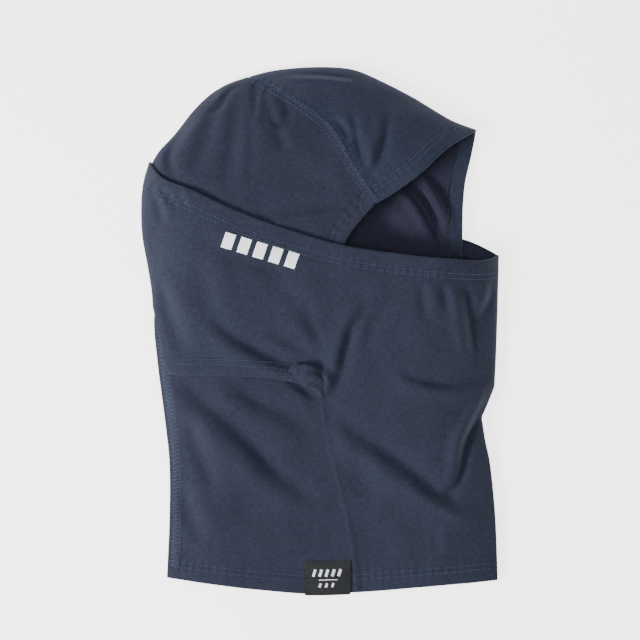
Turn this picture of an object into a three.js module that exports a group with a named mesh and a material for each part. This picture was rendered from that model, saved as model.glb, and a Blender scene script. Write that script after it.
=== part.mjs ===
// A hinged balaclava for skiing, laid on its left side on a table with the face to +X and the crown to +Y.
// The hood and neck are an inner shell. The mask is a loop of the same jersey that goes round the outside of the
// hood, joined to it only along the front of the neck, so it pulls down from the nose to under the chin.
// Every piece of cloth is a thin closed solid. "Near" is the half that faces up (the wearer's right side), and
// "far" is the half that is lain on (the left side).
// Units are millimetres. The frame's origin is on the table, under the middle of the garment, with +Z up.

import * as THREE from "three";

// ---- Driving dimensions ----
const clothThickness = 1.0;
const layerGap = 0.4; // between a panel and the hem or trim sewn to it
const turnedThickness = 0.8; // the turned-in layer of a hem, pressed flatter than the panel
const threadThickness = 0.4;
const hemHeight = 11;
const maskHemHeight = 12;
const stitchWidth = 4; // the two needle lines of a hem and the thread between them
const flatSeamWidth = 6;
const seamTrim = 0.6; // a panel stops this far short of the line of a seam

const foldHeight = 7; // height of a folded edge above the table
const nearReach = 62; // how far in from a fold the upper half goes on rising
const farReach = 7; // how far in from a fold the lower half comes down to the table
const hoodLift = 3.4; // the hood lies on the mask's lower half
const maskClearance = 4.2; // from the hood's outside to the mask's outside
const liftEnds = { from: 6, to: 40 }; // how far past the mask's upper edge the hood comes down to the table
const neckLiftEnds = { from: -134, to: -172 }; // here the neck comes down to the table
const loftStops = [[-215, 17], [-120, 21], [-40, 25], [60, 30], [120, 34], [215, 34]]; // [y, height]

const label = { left: -12, right: 24, height: 24, tuck: 9, thickness: 0.5 };
const careLabel = { x: -100, width: 30, y: -170, height: 24, thickness: 0.3 };
const print = { left: -77, right: -18, y: 62.5, height: 13, slope: -0.32, thickness: 0.2 };
const tuck = { x: -7, y: -40, length: 10.5, width: 7.5, height: 2.8 };
const crushedTuck = { x: -10, y: -60, length: 9, width: 6, height: 1.0 }; // the one that is lain on

const palette = {
  hood: 0x343a4e,
  crown: 0x373f52,
  mask: 0x353b4b,
  neck: 0x353648,
  thread: 0x4a5268,
  print: 0xe8ecee,
  label: 0x14161c,
  tape: 0xdadada,
};

// ---- Outlines, in the plane of the table ----
const spline = (...points) => new THREE.SplineCurve(points.map(([x, y]) => new THREE.Vector2(x, y)));
const straight = (from, to) => new THREE.LineCurve(new THREE.Vector2(...from), new THREE.Vector2(...to));
const stretch = (curve, from, to) => ({ getPointAt: (t) => curve.getPointAt(from + (to - from) * t) });

const browTip = [122, 158.4];
const crownStart = [-60, 198.8]; // where the crown seam crosses the top fold
const crownEndNear = [43.8, 99.5];
const crownEndFar = [112, 58];
const hinge = [2, -50]; // where the mask, the side panel and the front of the neck meet
const neckBack = [-121.5, -195];
const neckSide = [30, -206];
const neckFront = [141, -197];
const maskBackTop = [-136, 133];
const maskBackEnd = [-132.8, 19];
const maskFrontTop = [142, 58.8];
const maskFrontEnd = [137.5, -44];

const backFold = spline(
  neckBack, [-119, -150], [-118.5, -107], [-120.5, -76], [-124, -38], [-126.5, -5], [-128, 19],
  [-129.5, 50], [-130.5, 90], [-130.5, 126], [-126, 145.5], [-114, 157], [-103, 171.5], [-87, 187.5], crownStart,
);
const crownFold = spline(
  crownStart, [-35, 205], [8, 208], [38, 206], [59, 196], [83, 183.7], [103.5, 171], browTip,
);
const crownSeamNear = spline(crownStart, [-37, 190], [-8, 171], [9, 155.5], [24, 129], crownEndNear);
const crownSeamFar = spline(crownStart, [-10, 190], [40, 165], [80, 125], [104, 88], crownEndFar);
const browNear = spline(crownEndNear, [60.4, 109.7], [80.6, 124.9], [100.8, 144], browTip);
const browFar = spline(crownEndFar, [111.5, 84], [113.5, 115], [118, 135], browTip);
const sideSeam = [neckSide, [26, -169], [17, -127], [6, -82], hinge];
const sideEdgeNear = spline(...sideSeam, [3, -12], [9, 35], [19, 67], [29, 83], crownEndNear);
const sideEdgeFar = spline(...sideSeam, [36, -32], [78, -2], [103, 30], crownEndFar);
const neckEdgeBack = spline(neckBack, [-63, -202.5], [-12, -207], neckSide);
const neckEdgeFront = spline(neckSide, [80, -202], neckFront);
const neckFrontFold = spline(
  neckFront, [139.6, -165], [138, -138], [133, -107], [129, -84], [128, -69], [130, -56], [132, -38],
);
const neckTop = [[3, -53], [132, -38]];

const maskBackFold = spline(
  maskBackEnd, [-133.8, 32], [-137, 52], [-141, 74], [-142, 97], [-140.5, 116], maskBackTop,
);
const maskFrontFold = spline(maskFrontEnd, [139, -18], [140.5, 20], maskFrontTop);
const maskTopNear = spline(
  maskBackTop, [-125, 119.5], [-100, 109], [-63, 92], [-19, 76.5], [19, 66], [65, 59], [113, 54.5], [133, 55],
  maskFrontTop,
);
const maskTopFar = spline(
  maskBackTop, [-118, 124], [-63, 107], [-19, 94], [19, 85.5], [65, 78], [112, 72], maskFrontTop,
);
const maskChin = [[60, -48], [100, -46], maskFrontEnd];
const maskEdgeNear = spline(
  maskBackEnd, [-129, -10], [-121.7, -32], [-60, -35], [-20, -41], hinge, ...maskChin,
);
const maskEdgeFar = spline(maskBackEnd, [-90, -8], [-40, -34], hinge, ...maskChin);

// ---- Heights above the table ----
const { clamp, lerp, mapLinear, smoothstep } = THREE.MathUtils;

// The folds that each shell hangs between, as chains of points to measure from.
const hoodFolds = [[...backFold.getSpacedPoints(90), ...crownFold.getSpacedPoints(50).slice(1)]];
const neckFolds = [neckFrontFold.getSpacedPoints(50)];
const maskFolds = [
  [new THREE.Vector2(-128, -62), new THREE.Vector2(-132, -30), ...maskBackFold.getSpacedPoints(40)],
  maskFrontFold.getSpacedPoints(40),
];
const maskTopFarPoints = maskTopFar.getSpacedPoints(60);

function loft(y) {
  const next = loftStops.findIndex(([stop]) => stop > y);
  const [y0, z0] = loftStops[next - 1];
  const [y1, z1] = loftStops[next];
  return mapLinear(y, y0, y1, z0, z1);
}

function distanceTo(folds, x, y) {
  let least = Infinity;
  for (const line of folds)
    for (let i = 1; i < line.length; i++) {
      const [a, b] = [line[i - 1], line[i]];
      const [dx, dy] = [b.x - a.x, b.y - a.y];
      const t = clamp(((x - a.x) * dx + (y - a.y) * dy) / (dx * dx + dy * dy), 0, 1);
      least = Math.min(least, Math.hypot(x - a.x - t * dx, y - a.y - t * dy));
    }
  return least;
}

// 0 at a fold, where the cloth stands upright, to 1 at the reach, where it lies level.
function rise(distance, reach) {
  const left = 1 - clamp(distance / reach, 0, 1);
  return Math.pow(1 - Math.pow(left, 2.2), 0.8);
}

const nearHeight = (folds, extra) => (x, y) =>
  lerp(foldHeight, loft(y) + extra, rise(distanceTo(folds, x, y), nearReach));
const farHeight = (folds, base) => (x, y) =>
  lerp(foldHeight, base(x, y), rise(distanceTo(folds, x, y), farReach));

// The hood's lower half lies on the mask's, and on the table beyond the mask's upper edge and near the neck's hem.
function hoodBase(x, y) {
  const edge = maskTopFarPoints.reduce((a, b) => (Math.abs(a.x - x) < Math.abs(b.x - x) ? a : b));
  const overMask = 1 - smoothstep(y - edge.y, liftEnds.from, liftEnds.to);
  const overNeck = smoothstep(y, neckLiftEnds.to, neckLiftEnds.from);
  return hoodLift * overMask * overNeck;
}

const hoodNear = nearHeight(hoodFolds, 0);
const hoodFar = farHeight(hoodFolds, hoodBase);
const neckNear = nearHeight(neckFolds, 0);
const neckFar = farHeight(neckFolds, hoodBase);
const maskNear = nearHeight(maskFolds, maskClearance);
const maskFar = farHeight(maskFolds, () => 0);

// ---- Surfaces between four edges ----
// bottom and top run the same way (u), and left and right run from bottom to top (v).
function surface({ bottom, top, left, right, height }) {
  const [b0, b1, t0, t1] = [bottom.getPointAt(0), bottom.getPointAt(1), top.getPointAt(0), top.getPointAt(1)];
  const at = (u, v) => {
    const [b, t, l, r] = [bottom.getPointAt(u), top.getPointAt(u), left.getPointAt(v), right.getPointAt(v)];
    const blend = (k) =>
      (1 - v) * b[k] + v * t[k] + (1 - u) * l[k] + u * r[k]
      - (1 - v) * ((1 - u) * b0[k] + u * b1[k]) - v * ((1 - u) * t0[k] + u * t1[k]);
    return new THREE.Vector3(blend("x"), blend("y"), height(blend("x"), blend("y")));
  };
  return {
    at,
    widthAt: (v) => left.getPointAt(v).distanceTo(right.getPointAt(v)),
    heightAt: (u) => bottom.getPointAt(u).distanceTo(top.getPointAt(u)),
  };
}

const crownTip = 0.04; // the crown panel's pointed end starts this far along its seam

function crownSurface(seam, brow, height) {
  const bottom = stretch(seam, crownTip, 1);
  const top = stretch(crownFold, crownTip, 1);
  const left = straight(bottom.getPointAt(0).toArray(), top.getPointAt(0).toArray());
  return surface({ bottom, top, left, right: brow, height });
}

const sideSurface = (top, right, height) =>
  surface({ bottom: neckEdgeBack, top, left: backFold, right, height });

const neckSurface = (height) =>
  surface({
    bottom: neckEdgeFront,
    top: straight(...neckTop),
    left: spline(...sideSeam.slice(0, 4), neckTop[0]),
    right: neckFrontFold,
    height,
  });

const maskSurface = (bottom, top, height) =>
  surface({ bottom, top, left: maskBackFold, right: maskFrontFold, height });

const crown = {
  near: crownSurface(crownSeamNear, browNear, hoodNear),
  far: crownSurface(crownSeamFar, browFar, hoodFar),
};
const side = {
  near: sideSurface(crownSeamNear, sideEdgeNear, hoodNear),
  far: sideSurface(crownSeamFar, sideEdgeFar, hoodFar),
};
const neck = { near: neckSurface(neckNear), far: neckSurface(neckFar) };
const mask = {
  near: maskSurface(maskEdgeNear, maskTopNear, maskNear),
  far: maskSurface(maskEdgeFar, maskTopFar, maskFar),
};

// ---- Closed solids from grids of points ----
const steps = (from, to, count) => Array.from({ length: count + 1 }, (_, k) => lerp(from, to, k / count));
// Closer together at both ends, where the cloth bends over its folds.
const foldSteps = (from, to, count) =>
  steps(0, 1, count).map((t) => lerp(from, to, (1 - Math.cos(Math.PI * t)) / 2));

// A sheet of cloth. The grid's rows and columns are turned so that row step × column step points outwards, and
// the solid fills the space between two distances from the grid, outwards being positive. In a ring, the last
// row is joined to the first.
function sheet(grid, outer, inner, ring = false) {
  const rows = grid.length;
  const columns = grid[0].length;
  const point = (i, j) => grid[ring ? (i + rows) % rows : clamp(i, 0, rows - 1)][clamp(j, 0, columns - 1)];
  const points = [];
  for (const offset of [outer, inner])
    for (let i = 0; i < rows; i++)
      for (let j = 0; j < columns; j++) {
        const rowStep = point(i + 1, j).clone().sub(point(i - 1, j));
        const columnStep = point(i, j + 1).clone().sub(point(i, j - 1));
        points.push(point(i, j).clone().addScaledVector(rowStep.cross(columnStep).normalize(), offset));
      }
  const [top, bottom] = [0, rows * columns];
  const id = (layer, i, j) => layer + (i % rows) * columns + j;
  const faces = [];
  const quad = (a, b, c, d) => faces.push(a, b, c, a, c, d);
  for (let i = 0; i < (ring ? rows : rows - 1); i++) {
    for (let j = 0; j < columns - 1; j++) {
      quad(id(top, i, j), id(top, i + 1, j), id(top, i + 1, j + 1), id(top, i, j + 1));
      quad(id(bottom, i, j), id(bottom, i, j + 1), id(bottom, i + 1, j + 1), id(bottom, i + 1, j));
    }
    const end = columns - 1;
    quad(id(top, i, 0), id(bottom, i, 0), id(bottom, i + 1, 0), id(top, i + 1, 0));
    quad(id(top, i, end), id(top, i + 1, end), id(bottom, i + 1, end), id(bottom, i, end));
  }
  for (let j = 0; j < columns - 1 && !ring; j++) {
    const end = rows - 1;
    quad(id(top, 0, j), id(top, 0, j + 1), id(bottom, 0, j + 1), id(bottom, 0, j));
    quad(id(top, end, j), id(bottom, end, j), id(bottom, end, j + 1), id(top, end, j + 1));
  }
  const geometry = new THREE.BufferGeometry().setFromPoints(points);
  geometry.setIndex(faces);
  geometry.computeVertexNormals();
  return geometry;
}

const panel = (grid, ring) => sheet(grid, 0, -clothThickness, ring);
const insideOuter = -clothThickness - layerGap;
const turnedLayer = (grid, ring) => sheet(grid, insideOuter, insideOuter - turnedThickness, ring);
const threadInside = (grid, ring) => sheet(grid, insideOuter, insideOuter - threadThickness, ring);
const threadOutside = (grid, ring) => sheet(grid, layerGap + threadThickness, layerGap, ring);

// The rows of a whole surface, less what is trimmed from its edges, with columns where the hems end.
function rowsOf(piece, ts, { left = 0, right = 0, bottom = 0, top = 0, lowHem = 0, highHem = 0, count }) {
  return ts.map((t) => {
    const height = piece.heightAt(t);
    const low = steps(bottom / height, lowHem / height, 2);
    const high = steps(1 - highHem / height, 1 - top / height, 2);
    const middle = steps(lowHem ? low[2] : low[0], highHem ? high[0] : high[2], count);
    const vs = [...(lowHem ? low.slice(0, 2) : []), ...middle, ...(highHem ? high.slice(1) : [])];
    return vs.map((v) => piece.at(lerp(left, piece.widthAt(v) - right, t) / piece.widthAt(v), v));
  });
}

// Rows with columns between two distances from the bottom edge, or from the top edge if they are negative.
const strip = (piece, us, from, to, { left = 0, right = 0 } = {}) =>
  us.map((t) => {
    const height = piece.heightAt(t);
    return steps(from, to, 2).map((d) => {
      const v = (d < 0 || Object.is(d, -0) ? 1 : 0) + d / height;
      return piece.at(lerp(left, piece.widthAt(v) - right, t) / piece.widthAt(v), v);
    });
  });

// Columns between two distances from the left edge, or from the right edge if they are negative.
const upright = (piece, vs, from, to) =>
  vs.map((v) => steps(from, to, 2).map((d) => piece.at((d < 0 ? 1 : 0) + d / piece.widthAt(v), v)));

const flipped = (grid) => grid[0].map((_, j) => grid.map((row) => row[j]));
const inner = (list) => list.slice(1, -1);

const hemStart = (height) => height - stitchWidth / 2;
const hemEnd = (height) => height + stitchWidth / 2;

// ---- The hood ----
const crownVs = foldSteps(0, 1, 9);
const sideUs = foldSteps(0, 1, 15);

// Rows run from the far seam, over the top fold, to the near seam.
function crownPanel() {
  const half = (piece) =>
    crownVs.map((t) =>
      foldSteps(0, 1, 18).map((u) => piece.at(u, lerp(seamTrim / piece.heightAt(u), 1, t))));
  return panel([...half(crown.far), ...half(crown.near).reverse().slice(1)]);
}

// Rows run from the back fold to the front edge, and the far panel's the other way.
function sidePanel(piece, flip) {
  const trims = { left: seamTrim, right: seamTrim, top: seamTrim, lowHem: hemHeight, count: 22 };
  const grid = rowsOf(piece, sideUs, trims);
  return panel(flip ? grid.reverse() : grid);
}

// The turned-in layer along the face, up the last part of a side panel's front edge.
function faceHem(piece, flip) {
  const grid = flipped(upright(piece, steps(0.55, 0.965, 14), -hemHeight, -seamTrim));
  return turnedLayer(flip ? grid.reverse() : grid);
}

function browRows(piece, from, to) {
  return crownVs.slice(1).map((t) =>
    steps(from, to, 2).map((d) => {
      const u = 1 + d / piece.widthAt(t);
      return piece.at(u, lerp(seamTrim / piece.heightAt(u), 1, t));
    }));
}

const browHem = () => {
  const [far, near] = [crown.far, crown.near].map((piece) => browRows(piece, -hemHeight, -seamTrim));
  return turnedLayer([...far, ...near.reverse().slice(1)]);
};

const browThread = () =>
  threadOutside(browRows(crown.near, -hemEnd(hemHeight), -hemStart(hemHeight)).slice(1, -1).reverse());

// A strip down the middle of the crown seam, on one side of the head.
function crownSeamThread(seam, height, make, end, flip) {
  const grid = steps(0.09, end, 24).map((t) => {
    const middle = seam.getPointAt(t);
    const along = seam.getTangentAt(t);
    return steps(-flatSeamWidth / 2, flatSeamWidth / 2, 2).map((d) => {
      const [x, y] = [middle.x - along.y * d, middle.y + along.x * d];
      return new THREE.Vector3(x, y, height(x, y));
    });
  });
  return make(flip ? grid.reverse() : grid);
}

const backSeamThread = () =>
  threadOutside(flipped(upright(side.near, steps(0.045, 0.78, 26), 1.5, 1.5 + flatSeamWidth)));

// ---- The neck ----
const neckUs = foldSteps(0, 1, 12);

function frontNeckPanel() {
  const trims = { left: seamTrim, lowHem: hemHeight, count: 8 };
  const [near, far] = [neck.near, neck.far].map((piece) => rowsOf(piece, neckUs, trims));
  return panel([...near, ...far.reverse().slice(1)]);
}

// All the way round: back fold, near side, front fold, far side.
function neckHem() {
  const half = (sidePiece, neckPiece) => [
    ...strip(sidePiece, sideUs.slice(1), 0, hemHeight, { left: seamTrim, right: seamTrim }),
    ...strip(neckPiece, neckUs, 0, hemHeight, { left: seamTrim }),
  ];
  return turnedLayer([...half(side.near, neck.near), ...half(side.far, neck.far).slice(0, -1).reverse()], true);
}

function neckHemThread() {
  const [from, to] = [hemStart(hemHeight), hemEnd(hemHeight)];
  return threadOutside([
    ...strip(side.near, sideUs.slice(1, -1), from, to),
    ...strip(neck.near, neckUs.slice(0, -1), from, to),
  ]);
}

function sideSeamThread(piece, flip) {
  const width = 4;
  const grid = flipped(upright(piece, steps(0.1, 0.44, 10), -width - seamTrim, -seamTrim));
  return threadInside(flip ? grid.reverse() : grid);
}

// ---- The labels ----
// The woven label is one strip folded over the neck's hem, shown outside and tucked in behind.
function wovenLabel() {
  const outside = layerGap + threadThickness + layerGap + label.thickness;
  const inside = insideOuter - turnedThickness - layerGap - label.thickness;
  const below = -(layerGap + label.thickness);
  const path = [
    [label.height, outside], [label.height / 2, outside], [0, outside],
    [below, outside - 0.4], [below, inside + 0.4],
    [0, inside], [label.tuck, inside],
  ]; // [height above the hem's edge, distance from the cloth's outside]
  const grid = steps(label.left, label.right, 6).map((x) => {
    const edge = neckEdgeBack.getPointAt(mapLinear(x, neckBack[0], neckSide[0], 0, 1)).y;
    return path.map(([up, out]) => new THREE.Vector3(x, edge + up, hoodNear(x, edge + Math.max(up, 0)) + out));
  });
  return sheet(grid.reverse(), 0, -label.thickness);
}

function labelThread() {
  const bottom = label.height - 3;
  const out = layerGap * 3 + threadThickness * 2 + label.thickness;
  const grid = steps(label.left + 1, label.right - 1, 4).map((x) => {
    const edge = neckEdgeBack.getPointAt(mapLinear(x, neckBack[0], neckSide[0], 0, 1)).y;
    return steps(bottom, bottom + 1.4, 1).map((up) =>
      new THREE.Vector3(x, edge + up, hoodNear(x, edge + up) + out));
  });
  return sheet(grid, 0, -threadThickness);
}

// A blank satin strip with the washing instructions' place, lying on the inside of the far side near the back.
function careTape() {
  const top = clothThickness + layerGap + turnedThickness + layerGap;
  const grid = steps(0, careLabel.width, 2).map((dx) =>
    steps(0, careLabel.height, 2).map((dy) => {
      const [x, y] = [careLabel.x + dx, careLabel.y + dy];
      return new THREE.Vector3(x, y, hoodFar(x, y) + top + careLabel.thickness);
    }));
  return sheet(grid, 0, -careLabel.thickness);
}

// ---- The mask ----
const hingeU = { near: 0.475, far: 0.47 }; // where the loose rear edge reaches the hinge
const maskUs = (hinge) => [...foldSteps(0, 2 * hinge, 14).slice(0, 8), ...foldSteps(2 * hinge - 1, 1, 16).slice(9)];

function maskBand() {
  const trims = { lowHem: maskHemHeight, highHem: maskHemHeight, count: 6 };
  const near = rowsOf(mask.near, maskUs(hingeU.near), trims);
  const far = rowsOf(mask.far, inner(maskUs(hingeU.far)).reverse(), trims);
  return panel([...near, ...far], true);
}

function maskTopHem() {
  const near = strip(mask.near, maskUs(hingeU.near), -maskHemHeight, -0);
  const far = strip(mask.far, inner(maskUs(hingeU.far)).reverse(), -maskHemHeight, -0);
  return turnedLayer([...near, ...far], true);
}

// The loose rear edge: from the far hinge, round the back, to the near hinge.
function maskRearHem() {
  const [near, far] = [[mask.near, hingeU.near], [mask.far, hingeU.far]].map(([piece, hinge]) =>
    strip(piece, maskUs(hinge).slice(0, 8), 0, maskHemHeight));
  return turnedLayer([...far.reverse(), ...near.slice(1)]);
}

const maskTopThread = () =>
  threadOutside(strip(mask.near, inner(maskUs(hingeU.near)), -hemEnd(maskHemHeight), -hemStart(maskHemHeight)));

const maskRearThread = () =>
  threadOutside(strip(mask.near, maskUs(hingeU.near).slice(4, 8), hemStart(maskHemHeight), hemEnd(maskHemHeight)));

const maskBackThread = () =>
  threadOutside(flipped(upright(mask.near, steps(0.16, 0.84, 10), 1.5, 1.5 + flatSeamWidth)));

// A plain slanted bar of white transfer film.
function maskPrint() {
  const outside = layerGap + print.thickness;
  const grid = steps(0, 1, 10).map((t) => {
    const x = lerp(print.left, print.right, t);
    return steps(-print.height / 2, print.height / 2, 2).map((d) => {
      const y = print.y + d + print.slope * (x - (print.left + print.right) / 2);
      return new THREE.Vector3(x, y, maskNear(x, y));
    });
  });
  return sheet(grid, outside, layerGap);
}

// The hem's end, twisted into a tuck where it is sewn down at the hinge.
function hingeTuck(size, z) {
  const geometry = new THREE.SphereGeometry(1, 16, 10);
  geometry.scale(size.length, size.width, size.height);
  geometry.rotateZ(-0.5);
  geometry.translate(size.x, size.y, z);
  return geometry;
}

// ---- Assembly ----
const garment = new THREE.Group();

function add(name, geometry, color, roughness = 0.9) {
  const mesh = new THREE.Mesh(geometry, new THREE.MeshStandardMaterial({ color, roughness, metalness: 0 }));
  mesh.name = name;
  garment.add(mesh);
}

add("crown_panel", crownPanel(), palette.crown);
add("right_side_panel", sidePanel(side.near, false), palette.hood);
add("left_side_panel", sidePanel(side.far, true), palette.hood);
add("front_neck_panel", frontNeckPanel(), palette.neck);
add("brow_hem", browHem(), palette.crown);
add("right_face_hem", faceHem(side.near, false), palette.hood);
add("left_face_hem", faceHem(side.far, true), palette.hood);
add("neck_hem", neckHem(), palette.neck);
add("right_crown_seam_thread", crownSeamThread(crownSeamNear, hoodNear, threadOutside, 0.93, false), palette.thread);
add("left_crown_seam_thread", crownSeamThread(crownSeamFar, hoodFar, threadInside, 0.86, true), palette.thread);
add("back_seam_thread", backSeamThread(), palette.thread);
add("right_side_seam_thread", sideSeamThread(side.near, false), palette.thread);
add("left_side_seam_thread", sideSeamThread(side.far, true), palette.thread);
add("brow_hem_thread", browThread(), palette.thread);
add("neck_hem_thread", neckHemThread(), palette.thread);
add("woven_label", wovenLabel(), palette.label);
add("label_thread", labelThread(), palette.label);
add("care_label", careTape(), palette.tape);

add("mask_band", maskBand(), palette.mask);
add("mask_top_hem", maskTopHem(), palette.mask);
add("mask_rear_hem", maskRearHem(), palette.mask);
add("mask_top_hem_thread", maskTopThread(), palette.thread);
add("mask_rear_hem_thread", maskRearThread(), palette.thread);
add("mask_back_seam_thread", maskBackThread(), palette.thread);
add("mask_print", maskPrint(), palette.print, 0.5);
add("right_hinge_tuck", hingeTuck(tuck, maskNear(tuck.x, tuck.y) + tuck.height + layerGap), palette.mask);
add("left_hinge_tuck", hingeTuck(crushedTuck, crushedTuck.height + 0.1), palette.mask);

export default garment;
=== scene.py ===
import math

import bpy
import numpy as np
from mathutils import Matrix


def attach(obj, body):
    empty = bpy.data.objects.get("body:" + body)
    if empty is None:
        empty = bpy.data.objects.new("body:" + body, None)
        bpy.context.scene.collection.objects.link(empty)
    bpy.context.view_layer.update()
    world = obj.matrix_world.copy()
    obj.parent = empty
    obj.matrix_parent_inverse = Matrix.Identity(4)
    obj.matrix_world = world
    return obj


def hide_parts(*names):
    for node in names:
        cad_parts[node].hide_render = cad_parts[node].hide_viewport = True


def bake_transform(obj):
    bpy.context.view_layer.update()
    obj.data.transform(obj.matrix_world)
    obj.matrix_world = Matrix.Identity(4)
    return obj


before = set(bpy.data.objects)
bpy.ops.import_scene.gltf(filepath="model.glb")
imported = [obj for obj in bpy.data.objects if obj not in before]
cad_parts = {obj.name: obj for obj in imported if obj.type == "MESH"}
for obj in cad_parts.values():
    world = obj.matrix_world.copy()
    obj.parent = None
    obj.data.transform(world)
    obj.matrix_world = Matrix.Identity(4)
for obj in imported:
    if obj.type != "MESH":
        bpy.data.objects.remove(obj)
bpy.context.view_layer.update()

mm = 0.001
rng = np.random.default_rng(7)

# The garment lies on its left side. Outlines are in millimetres in the plane of the table, +x to the face and
# +y to the crown. "Near" is the upper half, "far" the half that is lain on.

cloth = {
    "thickness": 1.0,
    "step": 1.6,  # distance between mesh points
    "farStep": 2.4,  # the same on the half that is lain on
    "foldHeight": 7.0,  # a folded edge above the table
    "nearReach": 62.0,  # how far in from a fold the upper half goes on rising
    "farReach": 7.0,
    "hoodLift": 3.4,  # the hood lies on the mask's lower half
    "maskLift": 3.4,  # the mask's outside above the hood's outside
    "sewnDown": 15.0,  # over this distance from the side seam the mask comes down to the neck
    "liftEnds": (6, 40),  # past the mask's upper edge the hood comes down to the table
    "neckLiftEnds": (-172, -134),
    "seamGap": 0.04,
    "pressedDown": 2.4,  # the hood's upper half under the mask
    "overHood": 2.0,  # the mask's outside is never less than this above the hood's
    "neckWrinkles": 0.85,  # the share of their listed depth that they keep
    "farWrinkles": 1.2,
    "farCushion": 3.4,  # the lower half of the hood's top stands this far off the table
    "farCushionEnds": (40, 75),
    # bottom hem upwards: (y, height of the upper half above the table)
    "loft": [(-240, 16), (-215, 17), (-120, 21), (-40, 25), (60, 30), (120, 34), (240, 34)],
}
hem = {
    "height": 11.0, "maskHeight": 12.0, "rearHeight": 10.0, "rearStitches": 9.5, "radius": 1.1, "step": 0.5,
    "groove": 0.5, "pucker": 0.45, "rows": (-2, 2),
}
spans = {  # about how long each mesh runs, in millimetres
    "crown": 200, "crownDepth": 100, "side": 400, "sideWidth": 165,
    "maskHalf": 135, "maskDepth": 105, "neck": 155,
}


# curves
def resample(points, step=0.5):
    points = np.asarray(points, float)
    run = np.concatenate([[0], np.cumsum(np.linalg.norm(np.diff(points, axis=0), axis=1))])
    wanted = np.linspace(0, run[-1], max(int(run[-1] / step), 2) + 1)
    return np.stack([np.interp(wanted, run, points[:, k]) for k in range(points.shape[1])], 1)


def spline(*knots, step=0.5):  # a smooth line through the knots, evenly spaced
    knots = np.array(knots, float)
    padded = np.vstack([knots[:1], knots, knots[-1:]])
    t = np.linspace(0, 1, 24, endpoint=False)[:, None]
    parts = []
    for p0, p1, p2, p3 in zip(padded, padded[1:], padded[2:], padded[3:]):
        v1, v2 = (p2 - p0) / 2, (p3 - p1) / 2
        cubic, square = 2 * p1 - 2 * p2 + v1 + v2, 3 * p2 - 3 * p1 - 2 * v1 - v2
        parts.append(cubic * t**3 + square * t**2 + v1 * t + p1)
    return resample(np.vstack(parts + [knots[-1:]]), step)


def along(edge, t):
    at = np.clip(t, 0, 1) * (len(edge) - 1)
    low = np.minimum(at.astype(int), len(edge) - 2)
    return edge[low] + (edge[low + 1] - edge[low]) * (at - low)[..., None]


def runOf(edge):
    return float(np.linalg.norm(np.diff(edge, axis=0), axis=1).sum())


def smooth(low, high, x):
    t = np.clip((x - low) / (high - low), 0, 1)
    return t * t * (3 - 2 * t)


# Distance of points from a line, how far along it they are, and their side of it (+1 on its left).
def nearest(line, xy):
    flat = xy.reshape(-1, 2)
    best = np.full(len(flat), 1e9)
    run, side = np.zeros(len(flat)), np.ones(len(flat))
    start = 0.0
    for a, b in zip(line, line[1:]):
        step = b - a
        length = math.hypot(*step)
        if length < 1e-9:
            continue
        offset = flat - a
        share = np.clip(offset @ step / length**2, 0, 1)
        gap = offset - share[:, None] * step
        distance = np.hypot(gap[:, 0], gap[:, 1])
        closer = distance < best
        best[closer] = distance[closer]
        run[closer] = start + share[closer] * length
        side[closer] = np.where(step[0] * offset[closer, 1] - step[1] * offset[closer, 0] < 0, -1, 1)
        start += length
    shape = xy.shape[:-1]
    return best.reshape(shape), run.reshape(shape), side.reshape(shape)


# outlines
browTip, crownStart = (124.3, 159.2), (-57, 201.2)
crownEndNear, crownEndFar = (43.8, 99.5), (113.4, 58)
hinge = (2, -50)  # where the mask, the side panel and the front of the neck meet
neckBack, neckSide, neckFront = (-121.5, -195), (30, -206), (141, -197)
maskBackTop, maskBackEnd = (-136, 133), (-132.8, 19)
maskFrontTop, maskFrontEnd = (142, 58.8), (138.5, -44)

backFold = spline(
    neckBack, (-119.5, -150), (-119.5, -107), (-122.5, -76), (-127.5, -38), (-129.6, -20), (-131.2, -5),
    (-131.8, 8), (-130.8, 20), (-129.6, 34), (-130, 60), (-131, 90), (-133.5, 119), (-134, 130),
    (-129, 140.5), (-122, 148.5), (-115, 156), (-108, 165), (-100, 175), (-87.5, 187), (-73.5, 195.5), crownStart,
)
crownFold = spline(
    crownStart, (-38, 206), (-15, 208.6), (8, 209), (27, 206.8), (45.5, 199.4), (71.6, 186.2), (90.3, 175),
    (106, 166), browTip,
)
crownSeamNear = spline(crownStart, (-37, 190), (-8, 171), (9, 155.5), (24, 129), crownEndNear)
crownSeamFar = spline(crownStart, (-10, 190), (40, 150), (66, 116), (80, 99), (97, 71), crownEndFar)
browNear = spline(crownEndNear, (60.4, 109.7), (80.6, 124.9), (100.8, 144), browTip)
browFar = spline(crownEndFar, (113, 84), (115, 115), (120, 138), browTip)
sideSeam = spline(neckSide, (26, -169), (17, -127), (6, -82), hinge)
faceNear = spline(hinge, (3, -12), (9, 35), (19, 67), (29, 83), crownEndNear)
faceFar = spline(hinge, (36, -32), (78, -2), (103, 30), crownEndFar)
neckEdgeBack = spline(neckBack, (-63, -202.5), (-12, -207), neckSide)
neckEdgeFront = spline(neckSide, (80, -202), neckFront)
pinch = (128.4, -68.8)  # where the neck turns sharply in under the mask
neckFrontFold = np.vstack([
    spline(neckFront, (140, -165), (138.6, -140), (135.2, -107), (131.2, -87), pinch),
    spline(pinch, (132.2, -60.3), (137.2, -47.8), maskFrontEnd)[1:],
])
maskBackFold = spline(
    maskBackEnd, (-133.8, 32), (-137, 52), (-141, 74), (-142, 97), (-140.5, 116), maskBackTop,
)
maskFrontFold = spline(maskFrontEnd, (139.8, -18), (141, 20), maskFrontTop)
maskTopNear = spline(
    maskBackTop, (-125, 119.5), (-100, 109), (-63, 92), (-19, 76.5), (19, 66), (65, 59), (113, 54.5),
    (133, 55), maskFrontTop,
)
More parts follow.
